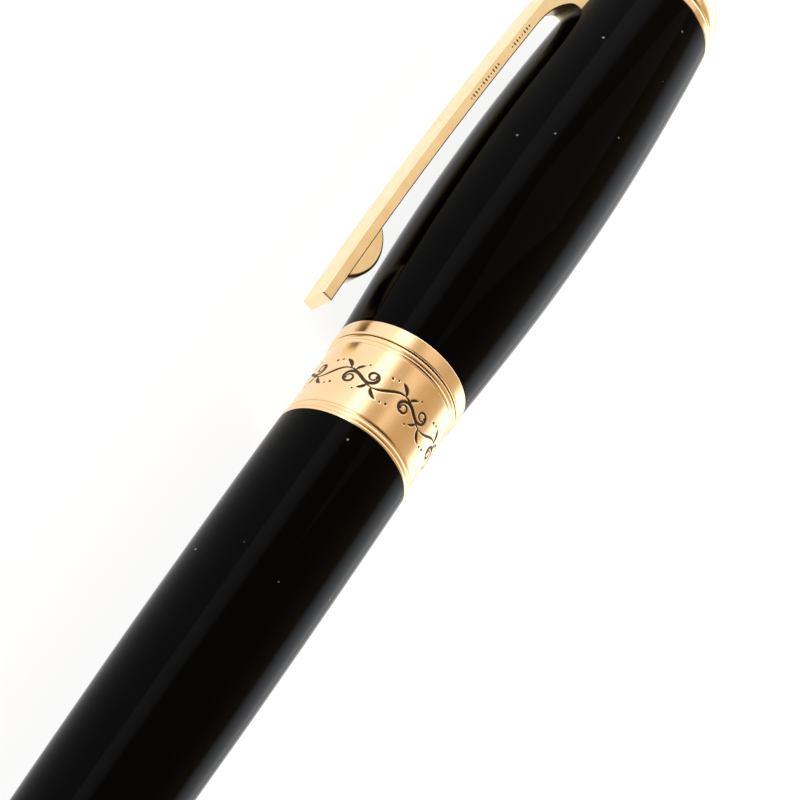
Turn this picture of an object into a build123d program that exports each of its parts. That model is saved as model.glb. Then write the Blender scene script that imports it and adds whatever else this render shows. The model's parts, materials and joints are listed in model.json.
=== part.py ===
from build123d import *
from math import asin, atan2, cos, hypot, sin
import os

# Capped rollerball pen, lying on its side with its clip turned down to the surface.
# The pen's axis is parallel to X: the cap's finial points to -X and the barrel's tail to +X.
# Every turned piece is an outline of (x, radius) corners revolved about that axis.

# ---- driving dimensions, mm ----
PEN_LENGTH = 140.0
X_FINIAL = -PEN_LENGTH / 2
X_TAIL = PEN_LENGTH / 2

CAP_MAX_R = 6.64          # widest point of the cap's swelling
CAP_LIP_R = 5.80
CAP_TOP_R = 5.62
X_MOUTH = -20.0           # seam between the cap and the barrel
SEAM_GAP = 0.08
LIP_LENGTH = 1.5
X_SHELL_FRONT = X_MOUTH - LIP_LENGTH
X_SHELL_TOP = -64.06
CAP_BORE_R = 5.0
CAP_RELIEF_R = 5.45       # the bore is wider between its two seats
LINER_R = 4.7
TIE_ROD_R = 1.1           # screws that hold the finial and the tail cap
SCREW_HEAD_R = 1.9
DRIVER_SLOT = 0.5

BARREL_R = 5.73
BAND_R = 5.62
BAND_RING_R = 5.74
BAND_COVE_R = 5.50        # floor of the cove beside each ring
X_BAND_FRONT = -19.17
X_BAND_REAR = -12.8
X_BARREL_FRONT = -11.7
X_TAPER_START = 8.0
X_BARREL_END = 64.0
CONNECTOR_R = 4.9
CONNECTOR_BORE_R = 4.3
SEAT_R = 3.3

SECTION_R = 4.5
SECTION_BORE_R = 3.15
SLEEVE_BODY_R = 3.7
THREAD_MAJOR_R = 4.22
THREAD_MINOR_R = 3.98
THREAD_PITCH = 0.75

REFILL_R = 3.0
REFILL_LENGTH = 110.5
X_WRITING_TIP = -53.0
BALL_R = 0.35

CLIP_WIDTH = 3.0
CLIP_THICKNESS = 1.0
CLIP_R = 9.6              # highest point of the clip's gently bowed back
CLIP_BOW_R = 487.0
X_CLIP_END = -20.8
X_CLIP_CREST = -32.0
X_CLIP_BEND = -56.0
X_PIN = -60.4
PIN_HEIGHT = 3.4
PIN_R = 0.5
PIN_CLEARANCE = 0.05
PIN_HALF_LENGTH = 3.1
SLOT_SIDE_GAP = 0.15      # between the clip's side and the slots it passes through

# ---- derived places ----
AXIS_Z = CAP_MAX_R
CLIP_CORNER_R = hypot(CLIP_R, CLIP_WIDTH / 2)
CLIP_TILT = asin(AXIS_Z / CLIP_CORNER_R) - atan2(CLIP_WIDTH / 2, CLIP_R)
CLIP_REACH_Y = CLIP_R * cos(CLIP_TILT) + CLIP_WIDTH / 2 * sin(CLIP_TILT)
AXIS_Y = (CLIP_REACH_Y - CAP_MAX_R) / 2

ORIGIN = Vector(0, AXIS_Y, AXIS_Z)
PEN_AXIS = Axis(ORIGIN, (1, 0, 0))
AXIAL = Plane(origin=ORIGIN, x_dir=(1, 0, 0), z_dir=(0, -1, 0))
# the clip stands in a plane through the axis, turned down until its edge meets the surface
CLIP_PLANE = Plane(origin=ORIGIN, x_dir=(1, 0, 0), z_dir=(0, sin(CLIP_TILT), -cos(CLIP_TILT)))

PARTS = []


def across(x):
    """A plane square to the pen's axis at x, facing the tail."""
    return Plane(origin=ORIGIN + Vector(x, 0, 0), x_dir=(0, 1, 0), z_dir=(1, 0, 0))


def turned(*outline, mode=Mode.ADD):
    """Revolve a closed outline of (x, radius) corners about the pen's axis."""
    with BuildSketch(AXIAL) as face:
        with BuildLine():
            Polyline(*outline, close=True)
        make_face()
    revolve(face.sketch, axis=PEN_AXIS, mode=mode)


def tube(x0, x1, outer, inner=0.0, mode=Mode.ADD):
    """A plain sleeve or disc between x0 and x1."""
    turned((x0, inner), (x1, inner), (x1, outer), (x0, outer), mode=mode)


def ring_profile(x0, x1, radius, inner, edge):
    """A turned ring whose two outer corners are rounded off by edge."""
    middle = edge * 0.3       # how far in a round's middle lies
    turned((x0, inner), (x1, inner), (x1, radius - edge), (x1 - middle, radius - middle),
           (x1 - edge, radius), (x0 + edge, radius), (x0 + middle, radius - middle),
           (x0, radius - edge))


def coil(x0, x1, radius, wire_r, turns):
    """A helical spring along the pen's axis, its wire inside x0 and x1."""
    height = x1 - x0 - 2 * wire_r
    with BuildLine() as path:
        Helix(pitch=height / turns, height=height, radius=radius,
              center=ORIGIN + Vector(x0 + wire_r, 0, 0), direction=(1, 0, 0))
    with BuildSketch(Plane(origin=path.line @ 0, z_dir=path.line % 0)) as wire:
        Circle(wire_r)
    sweep(wire.sketch, path=path.line, is_frenet=True)


def finish(builder, name):
    """Label a finished piece and list it for export."""
    builder.part.label = name
    PARTS.append(builder.part)


# ---- cap: lacquered shell and its gold trim ----
CAP_PROFILE = [(5.8, 6.17), (11.6, 6.47), (17.4, 6.62), (20.4, CAP_MAX_R), (23.2, 6.63),
               (29.0, 6.48), (34.8, 6.19), (38.3, 5.96)]

X_RELIEF_TOP = -55.5
X_RELIEF_FRONT = -28.0
RELIEF_RUNOUT = 1.5
SHELL_SLOT = (-61.75, -58.35)     # where the clip's root passes through, along X
SHELL_SLOT_R = 6.0

with BuildPart() as cap_shell:
    with BuildSketch(AXIAL) as shell_face:
        with BuildLine():
            swell = Spline((X_SHELL_FRONT, CAP_LIP_R - 0.02),
                           *[(X_SHELL_FRONT - s, r) for s, r in CAP_PROFILE],
                           (X_SHELL_TOP, CAP_TOP_R))
            Polyline(swell @ 1, (X_SHELL_TOP, CAP_BORE_R), (X_RELIEF_TOP - RELIEF_RUNOUT, CAP_BORE_R),
                     (X_RELIEF_TOP, CAP_RELIEF_R), (X_RELIEF_FRONT, CAP_RELIEF_R),
                     (X_RELIEF_FRONT + RELIEF_RUNOUT, CAP_BORE_R), (X_SHELL_FRONT, CAP_BORE_R), swell @ 0)
        make_face()
    revolve(shell_face.sketch, axis=PEN_AXIS)
    with BuildSketch(CLIP_PLANE) as shell_slot:
        with Locations((sum(SHELL_SLOT) / 2, SHELL_SLOT_R)):
            Rectangle(SHELL_SLOT[1] - SHELL_SLOT[0], 4.0)
    extrude(shell_slot.sketch, amount=CLIP_WIDTH / 2 + SLOT_SIDE_GAP, both=True, mode=Mode.SUBTRACT)
finish(cap_shell, "cap_shell")

X_LIP_REAR = X_MOUTH - SEAM_GAP / 2
X_SPIGOT_END = X_SHELL_FRONT - 4.0
SNAP_X0 = -23.1
SNAP_X1 = -22.4

with BuildPart() as cap_lip_ring:
    ring_profile(X_SHELL_FRONT, X_LIP_REAR, CAP_LIP_R, LINER_R, 0.12)
    tube(X_SPIGOT_END, X_SHELL_FRONT, CAP_BORE_R, LINER_R)
    tube(SNAP_X0, SNAP_X1, LINER_R + 0.2, LINER_R - 0.1, mode=Mode.SUBTRACT)
finish(cap_lip_ring, "cap_lip_ring")

with BuildPart() as cap_spring_ring:
    tube(SNAP_X0 + 0.05, SNAP_X1 - 0.05, LINER_R + 0.18, SECTION_R + 0.12)
    with BuildSketch(across(SNAP_X0 - 0.5)) as split_gap:
        with Locations((0, LINER_R)):
            Rectangle(1.2, 1.2)
    extrude(split_gap.sketch, amount=2.0, mode=Mode.SUBTRACT)
finish(cap_spring_ring, "cap_spring_ring")

X_LINER_END = -57.6
with BuildPart() as cap_liner:
    turned((X_SPIGOT_END, CAP_BORE_R), (X_LINER_END, CAP_BORE_R), (X_LINER_END, 0),
           (X_LINER_END + 0.6, 0), (X_LINER_END + 0.6, LINER_R - 1.2),
           (X_LINER_END + 1.8, LINER_R), (X_SPIGOT_END, LINER_R))
finish(cap_liner, "cap_liner")

X_TOP_RING = -64.95
X_FINIAL_BORE = X_FINIAL + 3.0
X_ROD_FOOT = -58.5
with BuildPart() as cap_top_ring:
    turned((X_SHELL_TOP, TIE_ROD_R + 0.1), (X_SHELL_TOP, CAP_TOP_R - 0.02),
           (X_SHELL_TOP - 0.08, CAP_TOP_R + 0.04), (X_TOP_RING + 0.25, CAP_TOP_R + 0.03),
           (X_TOP_RING + 0.08, CAP_TOP_R - 0.02), (X_TOP_RING, CAP_TOP_R - 0.14),
           (X_TOP_RING, TIE_ROD_R + 0.1))
finish(cap_top_ring, "cap_top_ring")

with BuildPart() as cap_finial:
    with BuildSketch(AXIAL) as finial_face:
        with BuildLine():
            Polyline((X_FINIAL, 0), (X_FINIAL_BORE, 0), (X_FINIAL_BORE, TIE_ROD_R), (X_TOP_RING, TIE_ROD_R),
                     (X_TOP_RING, CAP_TOP_R - 0.22), (X_TOP_RING - 0.2, CAP_TOP_R - 0.22),
                     (X_TOP_RING - 0.3, CAP_TOP_R - 0.1))
            Spline((X_TOP_RING - 0.3, CAP_TOP_R - 0.1), (-66.7, 5.3), (-67.95, 4.83), (-69.3, 3.4),
                   (X_FINIAL, 0), tangents=((-1, -0.03), (0, -1)))
        make_face()
    revolve(finial_face.sketch, axis=PEN_AXIS)
finish(cap_finial, "cap_finial")

with BuildPart() as finial_screw:
    tube(X_FINIAL_BORE + 0.1, X_ROD_FOOT, TIE_ROD_R)
    tube(X_ROD_FOOT, X_LINER_END - 0.05, SCREW_HEAD_R)
    with BuildSketch(across(X_LINER_END - 0.05)) as driver_slot:
        Rectangle(3 * SCREW_HEAD_R, DRIVER_SLOT)
    extrude(driver_slot.sketch, amount=-DRIVER_SLOT, mode=Mode.SUBTRACT)
finish(finial_screw, "finial_screw")

# ---- clip: carrier, hinge pin and spring in the cap, arm and foot that swing ----
CARRIER_SLOT = (-61.9, -58.0)
X_SPRING_SEAT = CARRIER_SLOT[1]
with BuildPart() as clip_carrier:
    tube(X_SHELL_TOP, X_LINER_END, CAP_BORE_R)
    tube(X_SHELL_TOP, X_ROD_FOOT, TIE_ROD_R, mode=Mode.SUBTRACT)
    tube(X_ROD_FOOT, X_LINER_END, SCREW_HEAD_R + 0.1, mode=Mode.SUBTRACT)
    with BuildSketch(CLIP_PLANE) as carrier_slot:
        with Locations((sum(CARRIER_SLOT) / 2, 4.0)):
            Rectangle(CARRIER_SLOT[1] - CARRIER_SLOT[0], 4.2)
    extrude(carrier_slot.sketch, amount=CLIP_WIDTH / 2 + SLOT_SIDE_GAP, both=True, mode=Mode.SUBTRACT)
    with BuildSketch(CLIP_PLANE) as pin_bore:
        with Locations((X_PIN, PIN_HEIGHT)):
            Circle(PIN_R)
    extrude(pin_bore.sketch, amount=PIN_HALF_LENGTH, both=True, mode=Mode.SUBTRACT)
finish(clip_carrier, "clip_carrier")

with BuildPart() as clip_pin:
    with BuildSketch(CLIP_PLANE) as pin_face:
        with Locations((X_PIN, PIN_HEIGHT)):
            Circle(PIN_R)
    extrude(pin_face.sketch, amount=PIN_HALF_LENGTH, both=True)
finish(clip_pin, "clip_pin")

with BuildPart() as clip_spring:
    with BuildSketch(CLIP_PLANE) as leaf_face:
        with BuildLine():
            bow = ThreePointArc((X_SPRING_SEAT, 4.3), (X_SPRING_SEAT - 0.6, 3.2), (X_SPRING_SEAT, 2.1))
            bow_back = ThreePointArc((X_SPRING_SEAT, 2.45), (X_SPRING_SEAT - 0.4, 3.2), (X_SPRING_SEAT, 3.95))
            Line(bow @ 1, bow_back @ 0)
            Line(bow_back @ 1, bow @ 0)
        make_face()
    extrude(leaf_face.sketch, amount=1.1, both=True)
finish(clip_spring, "clip_spring")


def bow_height(x):
    """Radius of the clip's back at x, a shallow arc about its crest."""
    return CLIP_R - (x - X_CLIP_CREST) ** 2 / (2 * CLIP_BOW_R)


ROOT_FRONT = -58.9
ROOT_BACK = -61.4
ROOT_FOOT = 2.2
CLIP_EDGE = 0.1
CHAMFER_FROM_R = 7.2      # the root inside the cap keeps its sharp edges
with BuildPart() as clip_arm:
    with BuildSketch(CLIP_PLANE) as arm_face:
        with BuildLine():
            back = ThreePointArc((X_CLIP_END, bow_height(X_CLIP_END)), (X_CLIP_CREST, CLIP_R),
                                 (X_CLIP_BEND, bow_height(X_CLIP_BEND)))
            shoulder = Spline(back @ 1, (-59.4, 8.45), (-60.9, 7.35), (ROOT_BACK, 6.0),
                              tangents=(back % 1, (0, -1)))
            Polyline(shoulder @ 1, (ROOT_BACK, ROOT_FOOT + 0.5), (ROOT_BACK + 0.5, ROOT_FOOT),
                     (ROOT_FRONT, ROOT_FOOT), (ROOT_FRONT, 5.9))
            belly = ThreePointArc((X_CLIP_END, bow_height(X_CLIP_END) - CLIP_THICKNESS),
                                  (X_CLIP_CREST, CLIP_R - CLIP_THICKNESS),
                                  (X_CLIP_BEND + 2, bow_height(X_CLIP_BEND + 2) - CLIP_THICKNESS))
            Spline(belly @ 1, (-57.0, 7.65), (-58.4, 6.9), (ROOT_FRONT, 5.9),
                   tangents=(belly % 1, (0, -1)))
            Line(back @ 0, belly @ 0)
        make_face()
    extrude(arm_face.sketch, amount=CLIP_WIDTH / 2, both=True)
    with BuildSketch(CLIP_PLANE) as pin_hole:
        with Locations((X_PIN, PIN_HEIGHT)):
            Circle(PIN_R + PIN_CLEARANCE)
    extrude(pin_hole.sketch, amount=CLIP_WIDTH, both=True, mode=Mode.SUBTRACT)
    edges_from_axis = [(edge, CLIP_PLANE.to_local_coords(edge.center())) for edge in clip_arm.edges()]
    chamfer([edge for edge, place in edges_from_axis
             if abs(place.Z) > CLIP_WIDTH / 2 - 0.01 and place.Y > CHAMFER_FROM_R], CLIP_EDGE)
finish(clip_arm, "clip_arm")

FOOT_X = -26.44
FOOT_CENTRE_R = 10.96
FOOT_R = 3.76
FOOT_WIDTH = 2.7
FOOT_EDGE = 0.2
with BuildPart() as clip_foot:
    with BuildSketch(CLIP_PLANE) as foot_face:
        with Locations((FOOT_X, FOOT_CENTRE_R)):
            Circle(FOOT_R)
    extrude(foot_face.sketch, amount=FOOT_WIDTH / 2, both=True)
    chamfer(clip_foot.edges().filter_by(GeomType.CIRCLE), FOOT_EDGE)
    # the disc is cut off along the underside of the arm
    with BuildSketch(CLIP_PLANE) as above_arm:
        with BuildLine():
            under = ThreePointArc((-34.0, bow_height(-34.0) - CLIP_THICKNESS),
                                  (X_CLIP_CREST + 1, bow_height(X_CLIP_CREST + 1) - CLIP_THICKNESS),
                                  (X_CLIP_END, bow_height(X_CLIP_END) - CLIP_THICKNESS))
            Polyline(under @ 1, (X_CLIP_END, 15.0), (-34.0, 15.0), under @ 0)
        make_face()
    extrude(above_arm.sketch, amount=FOOT_WIDTH, both=True, mode=Mode.SUBTRACT)
finish(clip_foot, "clip_foot")

# ---- barrel: engraved band between two trim rings, lacquered shell, tail trim ----
X_RING_FRONT = X_MOUTH + SEAM_GAP / 2

with BuildPart() as band_front_ring:
    with BuildSketch(AXIAL) as front_face:
        with BuildLine():
            crown = ThreePointArc((X_RING_FRONT, BAND_RING_R - 0.08), (-19.76, BAND_RING_R),
                                  (-19.55, BAND_RING_R - 0.05))
            cove = ThreePointArc(crown @ 1, (-19.42, BAND_COVE_R), (X_BAND_FRONT, BAND_COVE_R + 0.03))
            Polyline(cove @ 1, (X_BAND_FRONT, CONNECTOR_R), (X_RING_FRONT, CONNECTOR_R), crown @ 0)
        make_face()
    revolve(front_face.sketch, axis=PEN_AXIS)
finish(band_front_ring, "band_front_ring")

with BuildPart() as centre_band:
    ring_profile(X_BAND_FRONT, X_BAND_REAR, BAND_R, CONNECTOR_R, 0.05)
finish(centre_band, "centre_band")

with BuildPart() as band_rear_ring:
    with BuildSketch(AXIAL) as rear_face:
        with BuildLine():
            rear_cove = ThreePointArc((X_BAND_REAR, BAND_COVE_R + 0.03), (-12.55, BAND_COVE_R),
                                      (-12.42, BAND_RING_R - 0.05))
            first = ThreePointArc(rear_cove @ 1, (-12.24, BAND_RING_R), (-12.06, BAND_RING_R - 0.04))
            line = Polyline(first @ 1, (-12.03, BAND_RING_R - 0.1), (-12.0, BAND_RING_R - 0.04))
            second = ThreePointArc(line @ 1, (-11.86, BAND_RING_R), (X_BARREL_FRONT, BAND_RING_R - 0.04))
            Polyline(second @ 1, (X_BARREL_FRONT, CONNECTOR_R), (X_BAND_REAR, CONNECTOR_R), rear_cove @ 0)
        make_face()
    revolve(rear_face.sketch, axis=PEN_AXIS)
finish(band_rear_ring, "band_rear_ring")

X_CONNECTOR_END = -2.0
X_SEAL_BORE_END = -18.6
with BuildPart() as barrel_connector:
    tube(X_RING_FRONT, X_CONNECTOR_END, CONNECTOR_R, CONNECTOR_BORE_R)
    tube(X_RING_FRONT, X_SEAL_BORE_END, CONNECTOR_BORE_R + 0.12, CONNECTOR_BORE_R - 0.1, mode=Mode.SUBTRACT)
finish(barrel_connector, "barrel_connector")

BARREL_PROFILE = [(15.0, 5.65), (21.9, 5.54), (32.0, 5.31), (43.0, 4.99), (54.0, 4.62)]
BARREL_END_R = 4.24
with BuildPart() as barrel_shell:
    with BuildSketch(AXIAL) as barrel_face:
        with BuildLine():
            straight = Line((X_BARREL_FRONT, BARREL_R), (X_TAPER_START, BARREL_R))
            taper = Spline(straight @ 1, *BARREL_PROFILE, (X_BARREL_END, BARREL_END_R),
                           tangents=((1, 0), (1, -0.04)))
            Polyline(taper @ 1, (X_BARREL_END, SEAT_R), (60.5, SEAT_R), (50.0, 3.75), (38.0, 4.2),
                     (20.0, 4.6), (X_CONNECTOR_END, 4.6), (X_CONNECTOR_END, CONNECTOR_R),
                     (X_BARREL_FRONT, CONNECTOR_R), straight @ 0)
        make_face()
    revolve(barrel_face.sketch, axis=PEN_AXIS)
finish(barrel_shell, "barrel_shell")

X_TAIL_RING = 65.0
X_TAIL_BORE = X_TAIL - 2.4
with BuildPart() as tail_ring:
    turned((X_BARREL_END, TIE_ROD_R + 0.1), (X_BARREL_END, BARREL_END_R + 0.02),
           (X_BARREL_END + 0.08, BARREL_END_R + 0.08), (X_TAIL_RING - 0.15, BARREL_END_R + 0.04),
           (X_TAIL_RING, BARREL_END_R - 0.1), (X_TAIL_RING, TIE_ROD_R + 0.1))
finish(tail_ring, "tail_ring")

with BuildPart() as tail_cap:
    with BuildSketch(AXIAL) as tail_face:
        with BuildLine():
            Polyline((X_TAIL, 0), (X_TAIL_BORE, 0), (X_TAIL_BORE, TIE_ROD_R), (X_TAIL_RING, TIE_ROD_R),
                     (X_TAIL_RING, BARREL_END_R - 0.2), (X_TAIL_RING + 0.15, BARREL_END_R - 0.2),
                     (X_TAIL_RING + 0.25, BARREL_END_R - 0.08))
            Spline((X_TAIL_RING + 0.25, BARREL_END_R - 0.08), (66.8, 3.9), (68.4, 3.0), (69.5, 1.75),
                   (X_TAIL, 0), tangents=((1, -0.08), (0, -1)))
        make_face()
    revolve(tail_face.sketch, axis=PEN_AXIS)
finish(tail_cap, "tail_cap")

X_SEAT = 61.6
X_HEAD_SEAT = X_SEAT + 1.0
with BuildPart() as spring_seat:
    tube(X_SEAT, X_BARREL_END, SEAT_R, TIE_ROD_R)
    tube(X_SEAT, X_HEAD_SEAT, SCREW_HEAD_R + 0.1, mode=Mode.SUBTRACT)
finish(spring_seat, "spring_seat")

with BuildPart() as tail_screw:
    tube(X_HEAD_SEAT, X_TAIL_BORE - 0.1, TIE_ROD_R)
    tube(X_HEAD_SEAT - 0.85, X_HEAD_SEAT, SCREW_HEAD_R)
    with BuildSketch(across(X_HEAD_SEAT - 0.85)) as tail_slot:
        Rectangle(3 * SCREW_HEAD_R, DRIVER_SLOT)
    extrude(tail_slot.sketch, amount=DRIVER_SLOT, mode=Mode.SUBTRACT)
finish(tail_screw, "tail_screw")

X_REFILL_END = X_WRITING_TIP + REFILL_LENGTH
with BuildPart() as refill_spring:
    coil(X_REFILL_END, X_SEAT, 2.6, 0.22, 4)
finish(refill_spring, "refill_spring")

# ---- grip section: unscrews from the barrel ----
X_SHOULDER = X_RING_FRONT - 0.04
X_TRIM_FRONT = -24.2
TRIM_BEAD = 0.08
X_SLEEVE_FRONT = -34.0
X_GRIP_END = -47.0
X_GRIP_SEAT = -43.5
TIP_SEAT_R = 2.4
TIP_RIM_R = 3.9
TIP_BORE_R = 1.95
POINT_BORE_R = 1.0
X_CONE_END = -51.3

with BuildPart() as section_trim_ring:
    turned((X_SHOULDER, SLEEVE_BODY_R), (X_SHOULDER, SECTION_R), (X_TRIM_FRONT + 0.8, SECTION_R),
           (X_TRIM_FRONT + 0.65, SECTION_R + TRIM_BEAD), (X_TRIM_FRONT + 0.1, SECTION_R + TRIM_BEAD),
           (X_TRIM_FRONT, SECTION_R), (X_TRIM_FRONT, SLEEVE_BODY_R))
finish(section_trim_ring, "section_trim_ring")

with BuildPart() as grip_section:
    with BuildSketch(AXIAL) as grip_face:
        with BuildLine():
            waist = Spline((X_TRIM_FRONT, 4.42), (-32.0, 4.14), (-40.5, 3.92), (-45.5, 4.02),
                           (X_GRIP_END, 4.0))
            Polyline(waist @ 1, (X_GRIP_END, TIP_SEAT_R), (X_GRIP_SEAT, TIP_SEAT_R),
                     (X_GRIP_SEAT, SECTION_BORE_R), (X_SLEEVE_FRONT, SECTION_BORE_R),
                     (X_SLEEVE_FRONT, SLEEVE_BODY_R), (X_TRIM_FRONT, SLEEVE_BODY_R), waist @ 0)
        make_face()
    revolve(grip_face.sketch, axis=PEN_AXIS)
finish(grip_section, "grip_section")

with BuildPart() as section_tip:
    turned((X_GRIP_END, TIP_SEAT_R), (X_GRIP_SEAT, TIP_SEAT_R), (X_GRIP_SEAT, TIP_BORE_R),
           (X_CONE_END + 1.7, TIP_BORE_R), (X_CONE_END + 0.9, POINT_BORE_R), (X_CONE_END, POINT_BORE_R),
           (X_CONE_END, POINT_BORE_R + 0.28), (X_CONE_END + 0.12, POINT_BORE_R + 0.4),
           (X_GRIP_END - 1.0, TIP_RIM_R - 0.6), (X_GRIP_END - 0.5, TIP_RIM_R - 0.35),
           (X_GRIP_END - 0.12, TIP_RIM_R), (X_GRIP_END, TIP_RIM_R))
finish(section_tip, "section_tip")

SEAL_X = -19.2
SEAL_WIRE_R = 0.3
SEAL_R = 3.98
X_THREAD_FRONT = -18.0
X_SLEEVE_END = -9.0
RIDGE_TIP = THREAD_MAJOR_R - THREAD_MINOR_R
with BuildPart() as section_sleeve:
    tube(X_SLEEVE_FRONT, X_SLEEVE_END, SLEEVE_BODY_R, SECTION_BORE_R)
    tube(X_SHOULDER, X_THREAD_FRONT, THREAD_MAJOR_R, SECTION_BORE_R)
    tube(X_THREAD_FRONT, X_SLEEVE_END - 0.4, THREAD_MINOR_R, SECTION_BORE_R)
    tube(SEAL_X - 0.35, SEAL_X + 0.35, THREAD_MAJOR_R + 0.1, SEAL_R - SEAL_WIRE_R, mode=Mode.SUBTRACT)
    # one continuous helical ridge makes the male thread
    with BuildLine() as thread_path:
        thread_centre = ORIGIN + Vector(X_THREAD_FRONT + 0.4, 0, 0)
        Helix(pitch=THREAD_PITCH, height=10 * THREAD_PITCH, radius=THREAD_MINOR_R,
              center=thread_centre, direction=(1, 0, 0))
    ridge_start = thread_path.line @ 0
    outward = ridge_start - thread_centre
    with BuildSketch(Plane(origin=ridge_start, x_dir=outward, z_dir=thread_path.line % 0)) as ridge:
        Polygon((-0.1, -0.3), (RIDGE_TIP, -0.06), (RIDGE_TIP, 0.06), (-0.1, 0.3), align=None)
    sweep(ridge.sketch, path=thread_path.line, is_frenet=True)
finish(section_sleeve, "section_sleeve")

with BuildPart() as section_seal:
    with BuildSketch(AXIAL) as seal_face:
        with Locations((SEAL_X, SEAL_R)):
            Circle(SEAL_WIRE_R)
    revolve(seal_face.sketch, axis=PEN_AXIS)
finish(section_seal, "section_seal")

# ---- refill: tube, stepped nose, metal point, ball, ink and end plug ----
X_NOSE = -42.9
X_POINT = -49.0
REFILL_BORE_R = REFILL_R - 0.25
X_PLUG = X_REFILL_END - 4.0
PLUG_RIM = 1.0
VENT_R = 0.5
X_NOSE_REAR = X_NOSE + 3.0
with BuildPart() as refill_tube:
    tube(X_NOSE, X_REFILL_END - PLUG_RIM, REFILL_R, REFILL_BORE_R)
finish(refill_tube, "refill_tube")

with BuildPart() as refill_nose:
    turned((X_NOSE_REAR, 0), (X_NOSE_REAR, REFILL_BORE_R), (X_NOSE, REFILL_BORE_R),
           (X_NOSE, REFILL_R - 0.1), (X_NOSE - 0.4, 1.85), (X_POINT, 1.75), (X_POINT, 0))
finish(refill_nose, "refill_nose")

BALL_SEAT_X = X_WRITING_TIP + BALL_R
with BuildPart() as refill_point:
    turned((X_POINT, 0), (X_POINT, 1.2), (X_POINT - 0.3, 1.2), (X_POINT - 0.9, 0.8),
           (BALL_SEAT_X + 1.25, 0.8), (BALL_SEAT_X + 0.35, 0.5), (BALL_SEAT_X - 0.1, BALL_R + 0.06),
           (BALL_SEAT_X - 0.1, 0))
    with BuildSketch(AXIAL) as socket_face:
        with BuildLine():
            socket = CenterArc((BALL_SEAT_X, 0), BALL_R + 0.02, 0, 180)
            Line(socket @ 1, socket @ 0)
        make_face()
    revolve(socket_face.sketch, axis=PEN_AXIS, mode=Mode.SUBTRACT)
finish(refill_point, "refill_point")

with BuildPart() as writing_ball:
    with BuildSketch(AXIAL) as ball_face:
        with BuildLine():
            half = CenterArc((BALL_SEAT_X, 0), BALL_R, 0, 180)
            Line(half @ 1, half @ 0)
        make_face()
    revolve(ball_face.sketch, axis=PEN_AXIS)
finish(writing_ball, "writing_ball")

with BuildPart() as ink_reservoir:
    tube(X_NOSE_REAR, X_PLUG, REFILL_BORE_R)
finish(ink_reservoir, "ink_reservoir")

with BuildPart() as refill_end_plug:
    tube(X_PLUG, X_REFILL_END, REFILL_BORE_R, VENT_R)
    tube(X_REFILL_END - PLUG_RIM, X_REFILL_END, REFILL_R, VENT_R)
finish(refill_end_plug, "refill_end_plug")

# ---- export: one STEP for each piece ----
os.makedirs("parts", exist_ok=True)
for piece in PARTS:
    export_step(piece, "parts/" + piece.label + ".step")
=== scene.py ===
import json
import math

import bpy
import numpy as np
from mathutils import Matrix, Vector


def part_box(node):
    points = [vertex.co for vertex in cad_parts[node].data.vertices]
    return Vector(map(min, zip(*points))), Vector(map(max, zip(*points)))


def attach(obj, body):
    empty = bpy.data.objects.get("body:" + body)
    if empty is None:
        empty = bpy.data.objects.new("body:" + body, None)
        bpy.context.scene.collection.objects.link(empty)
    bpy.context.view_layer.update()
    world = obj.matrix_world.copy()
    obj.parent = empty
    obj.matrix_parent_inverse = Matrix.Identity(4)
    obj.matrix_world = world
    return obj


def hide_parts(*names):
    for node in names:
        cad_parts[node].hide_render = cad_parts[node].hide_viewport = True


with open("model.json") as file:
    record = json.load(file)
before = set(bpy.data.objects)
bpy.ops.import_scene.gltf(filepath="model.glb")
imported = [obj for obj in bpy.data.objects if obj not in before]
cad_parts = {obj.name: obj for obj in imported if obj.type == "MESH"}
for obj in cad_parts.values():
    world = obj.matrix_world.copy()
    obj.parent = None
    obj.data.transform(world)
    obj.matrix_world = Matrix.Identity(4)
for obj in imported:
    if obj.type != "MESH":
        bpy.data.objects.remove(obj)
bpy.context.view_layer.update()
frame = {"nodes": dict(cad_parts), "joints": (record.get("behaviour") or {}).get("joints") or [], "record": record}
MM = 0.001


# ---- places taken from the frame ----
def joint(name):
    return next(j for j in frame["joints"] if j["name"] == name)


AXIS_Y, AXIS_Z = joint("section_turn")["pos_m"][1:]
SHELL_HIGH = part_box("cap_shell")[1]
BAND_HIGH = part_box("centre_band")[1]
ARM_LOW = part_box("clip_arm")[0]
LIP = Vector((SHELL_HIGH.x, AXIS_Y, AXIS_Z))      # where the cap's shell ends, on the axis


def clip_directions():
    """The way out from the axis to the clip, and the way across the clip's width."""
    across = -Vector(joint("clip_hinge")["axis"]).normalized()
    out = across.cross(Vector((-1, 0, 0)))
    return out, across


OUT, ACROSS = clip_directions()


def by_clip(x, radius, side):
    """A point at x along the pen, radius out towards the clip, and side across the clip."""
    return Vector((x, AXIS_Y, AXIS_Z)) + radius * OUT + side * ACROSS


# ---- camera ----
RECEDE = math.radians(32.58)      # how far the cap's top turns away from the camera
ROLL = math.radians(55.09)        # the pen's slant in the picture
CLIP_TURN = math.radians(72.0)    # the clip's turn round the pen, from the side facing the camera
DISTANCE = 0.3126                 # from the lip to the camera
LENS = 180.0
SENSOR = 36.0
MISS_RIGHT = -0.055 * MM          # how far the camera's middle passes the lip, right and up
MISS_UP = -2.03 * MM


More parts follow.
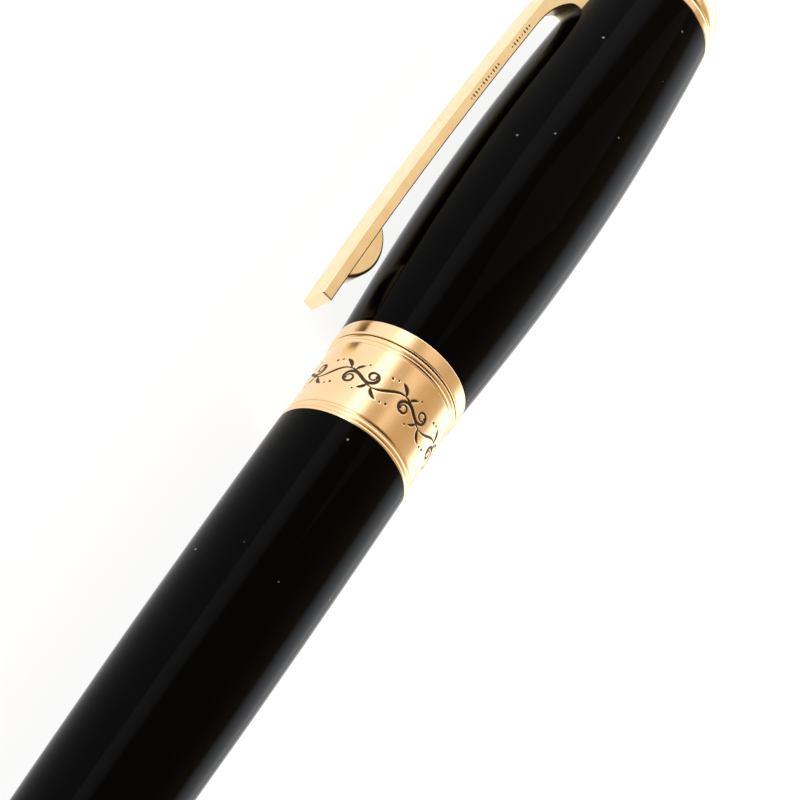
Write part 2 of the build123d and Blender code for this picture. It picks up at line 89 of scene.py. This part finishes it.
def make_camera():
    """Camera at the studied angle: its own right, up and back directions in the row frame."""
    top = Vector((-1, 0, 0))
    facing = math.cos(CLIP_TURN) * OUT + math.sin(CLIP_TURN) * ACROSS
    side = -math.sin(CLIP_TURN) * OUT + math.cos(CLIP_TURN) * ACROSS
    cr, sr, cp, sp = math.cos(RECEDE), math.sin(RECEDE), math.cos(ROLL), math.sin(ROLL)
    right = cr * cp * top + sr * cp * facing + sp * side
    up = cr * sp * top + sr * sp * facing - cp * side
    back = -sr * top + cr * facing
    data = bpy.data.cameras.new("camera")
    data.lens = LENS
    data.sensor_width = SENSOR
    data.clip_start = 0.01
    data.clip_end = 10.0
    camera = bpy.data.objects.new("camera", data)
    bpy.context.scene.collection.objects.link(camera)
    place = LIP + MISS_RIGHT * right + MISS_UP * up + DISTANCE * back
    turn = Matrix((right, up, back)).transposed()
    camera.matrix_world = Matrix.Translation(place) @ turn.to_4x4()
    bpy.context.scene.camera = camera


make_camera()


# ---- material helpers ----
class Graph:
    """A short way to write a node material."""

    def __init__(self, name):
        self.material = bpy.data.materials.new(name)
        self.material.use_nodes = True
        self.tree = self.material.node_tree
        self.tree.nodes.clear()
        self.output = self.tree.nodes.new("ShaderNodeOutputMaterial")
        self.shader = self.tree.nodes.new("ShaderNodeBsdfPrincipled")
        self.link(self.shader.outputs[0], self.output.inputs[0])
        self.place = self.tree.nodes.new("ShaderNodeTexCoord").outputs["Object"]

    def link(self, out, socket):
        self.tree.links.new(out, socket)

    def put(self, socket, value):
        if isinstance(value, bpy.types.NodeSocket):
            self.link(value, socket)
        else:
            socket.default_value = value

    def set(self, **values):
        for key, value in values.items():
            self.put(self.shader.inputs[key.replace("_", " ")], value)

    def scaled(self, x, y, z):
        node = self.tree.nodes.new("ShaderNodeMapping")
        self.link(self.place, node.inputs["Vector"])
        node.inputs["Scale"].default_value = (x, y, z)
        return node.outputs[0]

    def noise(self, vector, scale=1.0, detail=2.0, rough=0.5):
        node = self.tree.nodes.new("ShaderNodeTexNoise")
        self.link(vector, node.inputs["Vector"])
        node.inputs["Scale"].default_value = scale
        node.inputs["Detail"].default_value = detail
        node.inputs["Roughness"].default_value = rough
        return node.outputs["Fac"]

    def cells(self, vector, scale=1.0):
        node = self.tree.nodes.new("ShaderNodeTexVoronoi")
        self.link(vector, node.inputs["Vector"])
        node.inputs["Scale"].default_value = scale
        return node.outputs["Distance"], node.outputs["Color"]

    def span(self, value, low, high, to_low, to_high):
        node = self.tree.nodes.new("ShaderNodeMapRange")
        self.link(value, node.inputs["Value"])
        for key, number in (("From Min", low), ("From Max", high), ("To Min", to_low), ("To Max", to_high)):
            node.inputs[key].default_value = number
        return node.outputs[0]

    def mix(self, factor, a, b):
        node = self.tree.nodes.new("ShaderNodeMix")
        node.data_type = "RGBA"
        self.put(node.inputs[0], factor)
        self.put(node.inputs[6], a)
        self.put(node.inputs[7], b)
        return node.outputs[2]

    def math(self, what, a, b=0.0):
        node = self.tree.nodes.new("ShaderNodeMath")
        node.operation = what
        self.put(node.inputs[0], a)
        self.put(node.inputs[1], b)
        return node.outputs[0]

    def red(self, colour):
        node = self.tree.nodes.new("ShaderNodeSeparateColor")
        self.link(colour, node.inputs[0])
        return node.outputs[0]

    def attribute(self, name):
        node = self.tree.nodes.new("ShaderNodeAttribute")
        node.attribute_name = name
        return node.outputs["Fac"]

    def bump(self, height, strength, distance):
        node = self.tree.nodes.new("ShaderNodeBump")
        self.link(height, node.inputs["Height"])
        node.inputs["Strength"].default_value = strength
        node.inputs["Distance"].default_value = distance
        self.link(node.outputs[0], self.shader.inputs["Normal"])


LACQUER_IOR = 1.12
BLACK = (0.0002, 0.00015, 0.00015, 1)
LESS_BLACK = (0.0006, 0.0005, 0.0005, 1)
DUST = (0.35, 0.33, 0.3, 1)
GOLD = (1.0, 0.75, 0.46)
WARM_GOLD = (0.98, 0.67, 0.37)
BAND_WARM_GOLD = (0.98, 0.68, 0.38)
# two dark browns, mottled together, that colour the band's cut strokes
GROOVE_BROWN = (0.025, 0.009, 0.002, 1)
LIGHTER_GROOVE_BROWN = (0.085, 0.035, 0.009, 1)
TURNED = (9000, 260, 260)         # noise scales whose lines run round the pen
ALONG = (150, 7000, 7000)         # and along it
EVEN = (2000, 2000, 2000)


def lacquer(name, specks=True):
    """Deep black lacquer: mirror gloss, a faint orange peel, and a few specks of dust."""
    g = Graph(name)
    cloud = g.noise(g.scaled(1, 1, 1), 180, 3)
    deep = g.mix(g.span(cloud, 0.35, 0.65, 0, 1), BLACK, LESS_BLACK)
    haze = g.noise(g.scaled(1, 1, 1), 900, 4)
    gloss = g.span(haze, 0.3, 0.7, 0.03, 0.08)
    if specks:
        near, tint = g.cells(g.scaled(1, 1, 1), 520)
        pick = g.math("GREATER_THAN", g.red(tint), 0.62)
        speck = g.math("MULTIPLY", g.span(near, 0.035, 0.07, 1, 0), pick)
        deep = g.mix(speck, deep, DUST)
        gloss = g.math("ADD", gloss, g.math("MULTIPLY", speck, 0.5))
    g.set(Base_Color=deep, Roughness=gloss, IOR=LACQUER_IOR)
    g.bump(g.noise(g.scaled(1, 1, 1), 520, 2), 0.04, 0.00002)
    return g.material


def gold(name, rough=(0.16, 0.26), base=GOLD, warm=WARM_GOLD):
    """Polished gold plate with fine lines along the pen, and cloudy wear in its polish."""
    g = Graph(name)
    patch = g.noise(g.scaled(1, 1, 1), 420, 4)
    hair = g.noise(g.scaled(*ALONG), 1.0, 3, 0.6)
    colour = g.mix(g.span(patch, 0.35, 0.7, 0, 1), (*base, 1), (*warm, 1))
    worn = g.math("MULTIPLY", g.span(patch, 0.5, 0.75, 0.0, 0.08), g.span(hair, 0.4, 0.6, 0.3, 1.0))
    g.set(Base_Color=colour, Metallic=1.0, Roughness=g.math("ADD", g.span(hair, 0.3, 0.7, *rough), worn))
    g.bump(hair, 0.08, 0.00001)
    return g.material


def engraved(name):
    """The band's gold, brown in the cut strokes."""
    g = Graph(name)
    patch = g.noise(g.scaled(1, 1, 1), 420, 4)
    plate = g.mix(g.span(patch, 0.35, 0.7, 0, 1), (*GOLD, 1), (*BAND_WARM_GOLD, 1))
    groove = g.attribute("groove")
    groove_mottle = g.noise(g.scaled(1, 1, 1), 3500, 3)
    groove_tint = g.mix(g.span(groove_mottle, 0.3, 0.7, 0, 1), GROOVE_BROWN, LIGHTER_GROOVE_BROWN)
    colour = g.mix(g.span(groove, 0.05, 0.4, 0, 1), plate, groove_tint)
    hair = g.noise(g.scaled(*ALONG), 1.0, 3, 0.6)
    rough = g.math("ADD", g.span(hair, 0.3, 0.7, 0.16, 0.26), g.math("MULTIPLY", groove, 0.3))
    g.set(Base_Color=colour, Metallic=g.span(groove, 0.1, 0.6, 1.0, 0.3), Roughness=rough)
    g.bump(hair, 0.08, 0.00001)
    return g.material


def metal(name, colour, shade, grain, rough):
    """Machined or drawn metal with lines set by grain."""
    g = Graph(name)
    lines = g.noise(g.scaled(*grain), 1.0, 4, 0.6)
    patch = g.noise(g.scaled(1, 1, 1), 400, 3)
    g.set(Base_Color=g.mix(g.span(patch, 0.35, 0.65, 0, 1), (*colour, 1), (*shade, 1)),
          Metallic=1.0, Roughness=g.span(lines, 0.3, 0.7, *rough))
    g.bump(lines, 0.2, 0.00001)
    return g.material


def moulded(name, colour, shade, rough, grain=3000):
    """Moulded plastic or rubber with a fine pebble."""
    g = Graph(name)
    cloud = g.noise(g.scaled(1, 1, 1), 300, 3)
    pebble = g.noise(g.scaled(1, 1, 1), grain, 2)
    g.set(Base_Color=g.mix(g.span(cloud, 0.3, 0.7, 0, 1), (*colour, 1), (*shade, 1)),
          Roughness=g.span(pebble, 0.3, 0.7, *rough))
    g.bump(pebble, 0.25, 0.00001)
    return g.material


FINISHES = {
    "black_lacquer": lacquer("black_lacquer"),
    "black_resin": lacquer("black_resin", specks=False),
    "gold_plate": gold("gold_plate"),
    "engraved_gold": engraved("engraved_gold"),
    "bare_brass": metal("bare_brass", (0.75, 0.55, 0.24), (0.62, 0.42, 0.17), TURNED, (0.25, 0.42)),
    "steel": metal("steel", (0.58, 0.58, 0.6), (0.46, 0.46, 0.48), TURNED, (0.22, 0.38)),
    "liner_plastic": moulded("liner_plastic", (0.02, 0.02, 0.022), (0.035, 0.035, 0.037), (0.4, 0.55)),
    "refill_metal": metal("refill_metal", (0.66, 0.66, 0.68), (0.56, 0.56, 0.58), TURNED, (0.18, 0.3)),
    "refill_plastic": moulded("refill_plastic", (0.04, 0.04, 0.045), (0.06, 0.06, 0.065), (0.35, 0.5)),
    "ink": moulded("ink", (0.004, 0.005, 0.012), (0.008, 0.01, 0.02), (0.3, 0.5)),
    "seal_rubber": moulded("seal_rubber", (0.012, 0.012, 0.012), (0.025, 0.025, 0.025), (0.55, 0.75)),
    "ball_carbide": metal("ball_carbide", (0.5, 0.5, 0.52), (0.42, 0.42, 0.44), EVEN, (0.08, 0.2)),
}
# the clip's gold: the same plate, rougher, with its colour made paler as painted light so the clip looks more
# brightly lit
CLIP_GOLD_PAINTED_LIGHTER = gold("clip_gold_painted_lighter", rough=(0.26, 0.36), base=(1.0, 0.83, 0.54), warm=(0.98, 0.76, 0.44))
MARK_BROWN = moulded("mark_brown", (0.05, 0.022, 0.008), (0.11, 0.05, 0.018), (0.4, 0.6))
SLOTS = {part["node"]: part["material_slot"] for part in frame["record"]["subparts"]}


def dress_nodes():
    """Each CAD node gets the finish its slot names. The clip has its own gold: rougher, and paler in colour than
    the other gold parts, as painted light that makes it look more brightly lit.
    """
    for node, place in SLOTS.items():
        finish = CLIP_GOLD_PAINTED_LIGHTER if node in ("clip_arm", "clip_foot") else FINISHES[place]
        frame["nodes"][node].data.materials.clear()
        frame["nodes"][node].data.materials.append(finish)


def round_edges(node, width):
    """Small rounds on the edges of a flat-sided CAD node."""
    piece = frame["nodes"][node]
    piece.modifiers.new("weld", "WELD").merge_threshold = 1e-7
    merge = piece.modifiers.new("merge", "DECIMATE")
    merge.decimate_type = "DISSOLVE"
    merge.angle_limit = math.radians(0.2)
    rounds = piece.modifiers.new("rounds", "BEVEL")
    rounds.width = width
    rounds.segments = 3
    rounds.limit_method = "ANGLE"
    rounds.angle_limit = math.radians(25)
    rounds.harden_normals = True


dress_nodes()
round_edges("clip_arm", 0.06 * MM)
round_edges("clip_foot", 0.05 * MM)


# ---- turned pieces, each remade finely from its CAD node's own outline ----
SMOOTH_TURN = math.radians(20)    # an outline that turns less than this at a point is a curve there,
SLIGHT_TURN = math.radians(3)     # or less than this where a short run meets one LONGER times its length
LONGER = 3
DOME_POINTS = 41
DOME_POWERS = np.arange(1, 5)     # of the depth, in the squared radius
HOLD_RIM = 1000                   # how much more the fit heeds the rim than its other points


def outline_of(node):
    """The outline (x, radius) of a turned CAD node in order, and whether it closes on itself.

    Every turned node has its seam straight above the axis, where its edges follow the outline.
    """
    mesh = frame["nodes"][node].data
    points = np.array([vertex.co for vertex in mesh.vertices])
    height = points[:, 2] - AXIS_Z
    on_seam = (np.abs(points[:, 1] - AXIS_Y) < 1e-6) & (height > -1e-6)
    keys = [(round(x * 1e7), round(h * 1e7)) for x, h in zip(points[:, 0], height)]
    beside = {}
    for edge in mesh.edges:
        a, b = edge.vertices
        if on_seam[a] and on_seam[b] and keys[a] != keys[b]:
            beside.setdefault(keys[a], set()).add(keys[b])
            beside.setdefault(keys[b], set()).add(keys[a])
    ends = sorted(key for key, others in beside.items() if len(others) == 1)
    walk = [ends[0] if ends else min(beside)]
    while True:
        ahead = sorted(key for key in beside[walk[-1]] if key not in walk)
        if not ahead:
            break
        walk.append(ahead[0])
    path = np.array(walk) * 1e-7
    if ends:      # both ends are carried to the axis
        away = path[path[:, 1] > 1e-5]
        path = np.vstack([[path[0, 0], 0], away, [path[-1, 0], 0]])
    loop = np.roll(path, -1, axis=0)
    if np.sum(path[:, 0] * loop[:, 1] - loop[:, 0] * path[:, 1]) > 0:      # faces are to look out
        path = path[::-1]
    return path, not ends


def domed(path):
    """The outline with the run from its tip to its widest point drawn as one fair dome."""
    rim = int(np.argmax(path[:, 1]))
    tip_leads = abs(path[0, 0]) > abs(path[-1, 0])
    run = path[:rim + 1] if tip_leads else path[rim:][::-1]
    tip, edge = run[0], run[-1]
    depth = (run[:, 0] - tip[0]) / (edge[0] - tip[0])
    weight = np.append(np.ones(len(run) - 1), HOLD_RIM)
    terms = depth[:, None] ** DOME_POWERS * weight[:, None]
    fit = np.linalg.lstsq(terms, run[:, 1] ** 2 * weight, rcond=None)[0]
    deep = 1 - np.cos(np.linspace(0, math.pi / 2, DOME_POINTS))
    radius = np.sqrt(deep[:, None] ** DOME_POWERS @ fit)
    dome = np.column_stack([tip[0] + deep * (edge[0] - tip[0]), radius])
    dome[-1] = edge
    if tip_leads:
        return np.vstack([dome, path[rim + 1:]])
    return np.vstack([path[:rim], dome[::-1]])


def is_corner(before, point, after):
    """Whether the outline has a sharp corner at point, rather than a point along a curve."""
    a, b = point - before, after - point
    turn = math.atan2(abs(a[0] * b[1] - a[1] * b[0]), a @ b)
    lengths = sorted((np.linalg.norm(a), np.linalg.norm(b)))
    return turn > (SLIGHT_TURN if lengths[1] > LONGER * lengths[0] else SMOOTH_TURN)


def slope(before, point, after):
    """The outline's direction at a point on a curve, from the points beside it."""
    a, b = point - before, after - point
    la, lb = np.linalg.norm(a), np.linalg.norm(b)
    way = a / la * lb + b / lb * la
    return way / np.linalg.norm(way)


def refined(path, closed, step):
    """The outline with its curves filled in to step, by cubic spans."""
    count = len(path)
    at = [None] * count
    for i in range(0 if closed else 1, count if closed else count - 1):
        before, point, after = path[i - 1], path[i], path[(i + 1) % count]
        if not is_corner(before, point, after):
            at[i] = slope(before, point, after)
    out = []
    for i in range(count if closed else count - 1):
        p, q = path[i], path[(i + 1) % count]
        reach = np.linalg.norm(q - p)
        chord = (q - p) / reach
        a, b = at[i], at[(i + 1) % count]
        out.append(p)
        if a is None and b is None:
            continue
        a = 2 * chord - b if a is None else a
        b = 2 * chord - a if b is None else b
        for t in np.arange(1, math.ceil(reach / step)) / math.ceil(reach / step):
            out.append((1 + 2 * t) * (1 - t) ** 2 * p + t * (1 - t) ** 2 * reach * a
                       + t * t * (3 - 2 * t) * q - t * t * (1 - t) * reach * b)
    if not closed:
        out.append(path[-1])
    return np.array(out)


def eased(path, closed, ease):
    """The outline with each sharp corner rounded, and a point beside each round to hold its shading."""
    out = []
    count = len(path)
    for i, p in enumerate(path):
        before, after = path[i - 1], path[(i + 1) % count]
        if (not closed and i in (0, count - 1)) or not is_corner(before, p, after):
            out.append(p)
            continue
        la, lb = np.linalg.norm(before - p), np.linalg.norm(after - p)
        u, v = (before - p) / la, (after - p) / lb
        e = min(ease, 0.3 * la, 0.3 * lb)
        out += [p + u * 1.4 * e]
        out += [p + u * e * (1 - t) ** 2 + v * e * t ** 2 for t in (0, 0.25, 0.5, 0.75, 1)]
        out += [p + v * 1.4 * e]
    return np.array(out)


def lathe(name, path, closed, segments):
    """A smooth turned mesh about the pen's axis."""
    turn = np.arange(segments) * 2 * math.pi / segments
    rings = path if closed else path[1:-1]
    x = np.repeat(rings[:, 0], segments)
    y = AXIS_Y + np.outer(rings[:, 1], np.sin(turn)).ravel()
    z = AXIS_Z + np.outer(rings[:, 1], np.cos(turn)).ravel()
    points = np.column_stack([x, y, z])
    around = np.arange(segments)
    onward = (around + 1) % segments
    count = len(rings)
    rows = range(count if closed else count - 1)
    faces = [np.column_stack([i * segments + around, (i + 1) % count * segments + around,
                              (i + 1) % count * segments + onward, i * segments + onward]) for i in rows]
    faces = np.vstack(faces).tolist()
    if not closed:
        first, last = len(points), len(points) + 1
        points = np.vstack([points, [path[0, 0], AXIS_Y, AXIS_Z], [path[-1, 0], AXIS_Y, AXIS_Z]])
        tail = (count - 1) * segments
        faces += [[first, a, b] for a, b in zip(around.tolist(), onward.tolist())]
        faces += [[last, tail + b, tail + a] for a, b in zip(around.tolist(), onward.tolist())]
    mesh = bpy.data.meshes.new(name)
    mesh.from_pydata(points.tolist(), [], faces)
    mesh.shade_smooth()
    piece = bpy.data.objects.new(name, mesh)
    bpy.context.scene.collection.objects.link(piece)
    return piece


def stand_in(piece, node, body):
    """The piece takes the node's place, with its slot and its body."""
    piece.data.materials.append(FINISHES[SLOTS[node]])
    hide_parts(node)
    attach(piece, body)


# node: (body, rounds at its corners, largest step along its curves, segments round)
TURNED_NODES = {
    "cap_shell": ("cap", 0.03 * MM, 0.6 * MM, 288),
    "cap_lip_ring": ("cap", 0.03 * MM, 0.1 * MM, 288),
    "cap_top_ring": ("cap", 0.02 * MM, 0.1 * MM, 288),
    "cap_finial": ("cap", 0.03 * MM, 0.15 * MM, 288),
    "band_front_ring": ("barrel", 0.015 * MM, 0.03 * MM, 288),
    "band_rear_ring": ("barrel", 0.015 * MM, 0.03 * MM, 288),
    "barrel_shell": ("barrel", 0.03 * MM, 0.8 * MM, 288),
    "tail_ring": ("barrel", 0.02 * MM, 0.1 * MM, 256),
    "tail_cap": ("barrel", 0.03 * MM, 0.15 * MM, 256),
    "section_trim_ring": ("section", 0.02 * MM, 0.1 * MM, 192),
    "grip_section": ("section", 0.05 * MM, 0.4 * MM, 192),
    "section_tip": ("section", 0.03 * MM, 0.2 * MM, 192),
}
DOMED = ("cap_finial", "tail_cap")


def make_turned():
    """A fine piece for each turned node."""
    made = {}
    for node, (body, ease, step, segments) in TURNED_NODES.items():
        path, closed = outline_of(node)
        if node in DOMED:
            path = domed(path)
        path = eased(refined(path, closed, step), closed, ease)
        made[node] = lathe(node + "_fine", path, closed, segments)
        stand_in(made[node], node, body)
    return made


SLOT_ENDS = (ARM_LOW.x - 0.35 * MM, ARM_LOW.x + 3.05 * MM)
SLOT_RADII = (4 * MM, 8 * MM)
SLOT_SIDES = (-1.65 * MM, 1.65 * MM)
BOX_FACES = ((0, 1, 3, 2), (4, 6, 7, 5), (0, 4, 5, 1), (2, 3, 7, 6), (0, 2, 6, 4), (1, 5, 7, 3))


def cut_slot(shell):
    """Open the cap's wall where the clip's root passes through."""
    corners = [by_clip(x, radius, side) for x in SLOT_ENDS for radius in SLOT_RADII for side in SLOT_SIDES]
    mesh = bpy.data.meshes.new("slot_cutter")
    mesh.from_pydata(corners, [], BOX_FACES)
    cutter = bpy.data.objects.new("slot_cutter", mesh)
    bpy.context.scene.collection.objects.link(cutter)
    cut = shell.modifiers.new("slot", "BOOLEAN")
    cut.operation = "DIFFERENCE"
    cut.solver = "EXACT"
    cut.object = cutter
    bpy.context.view_layer.update()
    depsgraph = bpy.context.evaluated_depsgraph_get()
    shaped = bpy.data.meshes.new_from_object(shell.evaluated_get(depsgraph))
    shell.modifiers.clear()
    shell.data = shaped
    shell.data.set_sharp_from_angle(angle=math.radians(40))
    bpy.data.objects.remove(cutter)


cut_slot(make_turned()["cap_shell"])


# ---- the band's engraving: a running vine with tendrils, leaves and berries ----
BAND_R = BAND_HIGH.y - AXIS_Y
REPEATS = 7
PITCH = 2 * math.pi * BAND_R / REPEATS
CUT_DEPTH = 0.09 * MM
CUT_ROW = 0.06 * MM               # rows of the mesh along the pen
CUT_COLUMNS = 90                  # columns in each repeat
STEM_RISE = 0.55 * MM             # how far the stem swings to each side
STROKE_STEPS = 60
# (start in mm, heading, length in mm, first and last curvature a mm)
TENDRIL = ((0.05, 0.02), 0.7, 4.1, -0.75, -3.6)
BIG_LEAF = ((1.15, 0.52), 1.35, 1.25, -0.9, -0.9)
SMALL_LEAF = ((0.75, 0.42), 1.9, 0.95, 0.9, 0.9)
BERRIES = (((2.2, -1.15), 0.13), ((2.35, 1.3), 0.1), ((-0.1, 1.3), 0.1))      # place and radius in mm


def curl(start, heading, length, bend_from, bend_to):
    """Points from start (mm) along a curve whose curvature, per mm, changes evenly along it."""
    t = (np.arange(STROKE_STEPS) + 0.5) / STROKE_STEPS
    angle = heading + length * (bend_from * t + (bend_to - bend_from) * t ** 2 / 2)
    moves = np.column_stack([np.cos(angle), np.sin(angle)]) * length / STROKE_STEPS
    return (np.array(start) + np.vstack([[0, 0], np.cumsum(moves, axis=0)])) * MM


def leaf_widths(most):
    """Half widths along a leaf, pointed at both ends."""
    swell = np.sin(np.linspace(0, math.pi, STROKE_STEPS + 1)) ** 1.2
    return (0.03 + (most - 0.03) * swell) * MM


def vine_strokes():
    """The strokes of one repeat: points (round, along) and half widths, in metres about its middle."""
    u = np.linspace(-PITCH / 2, PITCH / 2, 201)
    stem = np.column_stack([u, STEM_RISE * np.sin(2 * math.pi * u / PITCH)])
    strokes = [(stem, (0.1 + 0.03 * np.cos(4 * math.pi * u / PITCH)) * MM)]
    tendril = curl(*TENDRIL)
    taper = np.linspace(1, 0, STROKE_STEPS + 1)
    for side in (1, -1):
        strokes.append((side * tendril, (0.06 + 0.11 * taper ** 0.7) * MM))
        strokes.append((side * tendril[[-1]], np.array([0.12 * MM])))
        strokes.append((side * curl(*BIG_LEAF), leaf_widths(0.19)))
        strokes.append((side * curl(*SMALL_LEAF), leaf_widths(0.14)))
        for place, size in BERRIES:
            strokes.append((side * np.array([place]) * MM, np.array([size * MM])))
    return strokes


def cut_into(round_at, along_at):
    """How deep the engraving is at each place of one repeat, from 0 to 1."""
    deep = np.zeros(round_at.shape)
    for points, widths in vine_strokes():
        for shift in (-PITCH, 0, PITCH):
            for (u, v), half in zip(points, widths):
                away = np.hypot(round_at - u - shift, along_at - v) / half
                deep = np.maximum(deep, np.clip(1 - away ** 2, 0, 1) * min(1, half / (0.1 * MM)))
    return deep


def make_band():
    """The band with its outer face in fine rows, sunk where the vine is cut."""
    path, closed = outline_of("centre_band")
    path = eased(refined(path, closed, MM), closed, 0.015 * MM)
    top = np.flatnonzero(path[:, 1] > BAND_R - 1e-6)
    low, high = path[top[0], 0], path[top[-1], 0]
    rows = np.linspace(low, high, round((high - low) / CUT_ROW) + 1)
    face = np.column_stack([rows, np.full(len(rows), path[top[0], 1])])
    path = np.vstack([path[:top[0]], face, path[top[-1] + 1:]])
    piece = lathe("centre_band_engraved", path, closed, REPEATS * CUT_COLUMNS)
    columns = (np.arange(CUT_COLUMNS) / CUT_COLUMNS - 0.5) * PITCH
    middle = (low + high) / 2
    along, rounds = np.meshgrid(rows - middle, columns, indexing="ij")
    deep = np.tile(cut_into(rounds, along), (1, REPEATS))
    points = np.array([vertex.co for vertex in piece.data.vertices])
    groove = np.zeros(len(points))
    start = top[0] * REPEATS * CUT_COLUMNS
    groove[start:start + deep.size] = deep.ravel()
    scale = 1 - groove * CUT_DEPTH / BAND_R
    points[:, 1] = AXIS_Y + (points[:, 1] - AXIS_Y) * scale
    points[:, 2] = AXIS_Z + (points[:, 2] - AXIS_Z) * scale
    piece.data.vertices.foreach_set("co", points.ravel())
    piece.data.attributes.new("groove", "FLOAT", "POINT").data.foreach_set("value", groove)
    piece.data.update()
    stand_in(piece, "centre_band", "barrel")


make_band()


# ---- two short rows of small stamped marks on the clip's side ----
CLIP_SIDE = 1.5 * MM              # half the clip's width
CLIP_MIDDLE = 9.07 * MM           # radius of the middle of its side at the crest of its bow
CLIP_CREST = -32 * MM             # where along the pen the bow is highest
CLIP_BOW = 487 * MM               # the bow's radius
MARK_ROWS = ((-44.3 * MM, 12), (-51.0 * MM, 8))       # where each row starts, and its count
MARK_STEP = 0.4 * MM
MARK_SHAPES = ((0.09, 0.09), (0.2, 0.1), (0.2, 0.1), (0.14, 0.1))     # half height and half length, mm
MARK_SINK = 0.02 * MM             # how far each mark goes into the side, and stands off it
MARK_RISE = 0.004 * MM


def make_marks():
    """Flat lozenges, just off the side of the arm."""
    points, faces = [], []
    for start, count in MARK_ROWS:
        for i in range(count):
            x = start - i * MARK_STEP
            high, wide = MARK_SHAPES[i % len(MARK_SHAPES)]
            middle = CLIP_MIDDLE - (x - CLIP_CREST) ** 2 / (2 * CLIP_BOW)
            first = len(points)
            for side in (CLIP_SIDE - MARK_SINK, CLIP_SIDE + MARK_RISE):
                for a, b in ((wide, 0), (0, high), (-wide, 0), (0, -high)):
                    points.append(by_clip(x + a * MM, middle + b * MM, side))
            faces.append([first + k for k in (4, 5, 6, 7)])
            faces.append([first + k for k in (3, 2, 1, 0)])
            for k in range(4):
                onward = (k + 1) % 4
                faces.append([first + k, first + onward, first + 4 + onward, first + 4 + k])
    mesh = bpy.data.meshes.new("clip_marks")
    mesh.from_pydata(points, [], faces)
    mesh.materials.append(MARK_BROWN)
    piece = bpy.data.objects.new("clip_marks", mesh)
    bpy.context.scene.collection.objects.link(piece)
    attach(piece, "clip")


make_marks()


# ---- floor and light ----
FLOOR_GLOW = 0.9
FLOOR_TONES = ((0.22, 0.22, 0.22, 1), (0.25, 0.25, 0.25, 1))
FLOOR_SIZE = 6.0
FLOOR_DROP = 0.02 * MM            # how far the floor lies below the pen
OVERHEAD = (0, -0.177, 0.984)     # the middle of the dim part of the studio's ceiling
# (how nearly overhead, from 0 level to 1, and the light there)
CEILING = ((0.0, (1.9, 1.95, 2.0)), (0.3, (2.0, 2.05, 2.15)), (0.44, (1.5, 1.5, 1.55)),
           (0.52, (0.66, 0.53, 0.36)), (0.8, (0.58, 0.43, 0.26)), (1.0, (0.58, 0.43, 0.26)))
FRONT = (0.54, -0.42, 0.73)       # a dark screen stands above the camera
SCREEN = ((0.79, 1.0), (0.86, 0.03))     # (how nearly towards it, and the light let through)
PANEL_WAY = Vector((-0.575, -0.23, 0.785))      # from the clip to a small panel that its side mirrors
PANEL_AIM = by_clip(-42 * MM, CLIP_MIDDLE, CLIP_SIDE)
PANEL_DISTANCE = 0.13


def make_floor():
    """A plain white floor that mostly glows by itself."""
    g = Graph("floor_white")
    cloud = g.noise(g.scaled(1, 1, 1), 8, 2)
    tone = g.mix(g.span(cloud, 0.3, 0.7, 0, 1), *FLOOR_TONES)
    g.set(Base_Color=tone, Roughness=0.9, Emission_Color=(1, 1, 1, 1), Emission_Strength=FLOOR_GLOW)
    bpy.ops.mesh.primitive_plane_add(size=FLOOR_SIZE, location=(0, 0, -FLOOR_DROP))
    floor = bpy.context.object
    floor.name = "floor"
    floor.data.materials.append(g.material)


def softbox(name, place, way, width, height, power):
    """A rectangular soft light at place, shining against way."""
    data = bpy.data.lights.new(name, "AREA")
    data.shape = "RECTANGLE"
    data.size = width
    data.size_y = height
    data.energy = power
    light = bpy.data.objects.new(name, data)
    light.location = place
    light.rotation_euler = Vector(way).to_track_quat("Z", "Y").to_euler()
    bpy.context.scene.collection.objects.link(light)


def make_world():
    """A studio that is bright low down all round, dimmer and warmer overhead, with a dark screen in front."""
    world = bpy.data.worlds.new("studio")
    bpy.context.scene.world = world
    world.use_nodes = True
    tree = world.node_tree
    back = tree.nodes["Background"]
    way = tree.nodes.new("ShaderNodeTexCoord").outputs["Generated"]

    def towards(direction):
        node = tree.nodes.new("ShaderNodeVectorMath")
        node.operation = "DOT_PRODUCT"
        tree.links.new(way, node.inputs[0])
        node.inputs[1].default_value = direction
        return node.outputs["Value"]

    ramp = tree.nodes.new("ShaderNodeValToRGB")
    tree.links.new(towards(OVERHEAD), ramp.inputs[0])
    bars = ramp.color_ramp.elements
    while len(bars) < len(CEILING):
        bars.new(0.5)
    for bar, (place, glow) in zip(bars, CEILING):
        bar.position = place
        bar.color = (*glow, 1)
    tree.links.new(ramp.outputs[0], back.inputs[0])
    screen = tree.nodes.new("ShaderNodeMapRange")
    tree.links.new(towards(FRONT), screen.inputs["Value"])
    for key, number in zip(("From Min", "To Min", "From Max", "To Max"), (*SCREEN[0], *SCREEN[1])):
        screen.inputs[key].default_value = number
    tree.links.new(screen.outputs[0], back.inputs[1])


make_floor()
make_world()
softbox("panel", PANEL_AIM + PANEL_DISTANCE * PANEL_WAY, PANEL_WAY, width=0.1, height=0.06, power=0.007)
scene = bpy.context.scene
scene.view_settings.view_transform = "Standard"
scene.view_settings.look = "None"
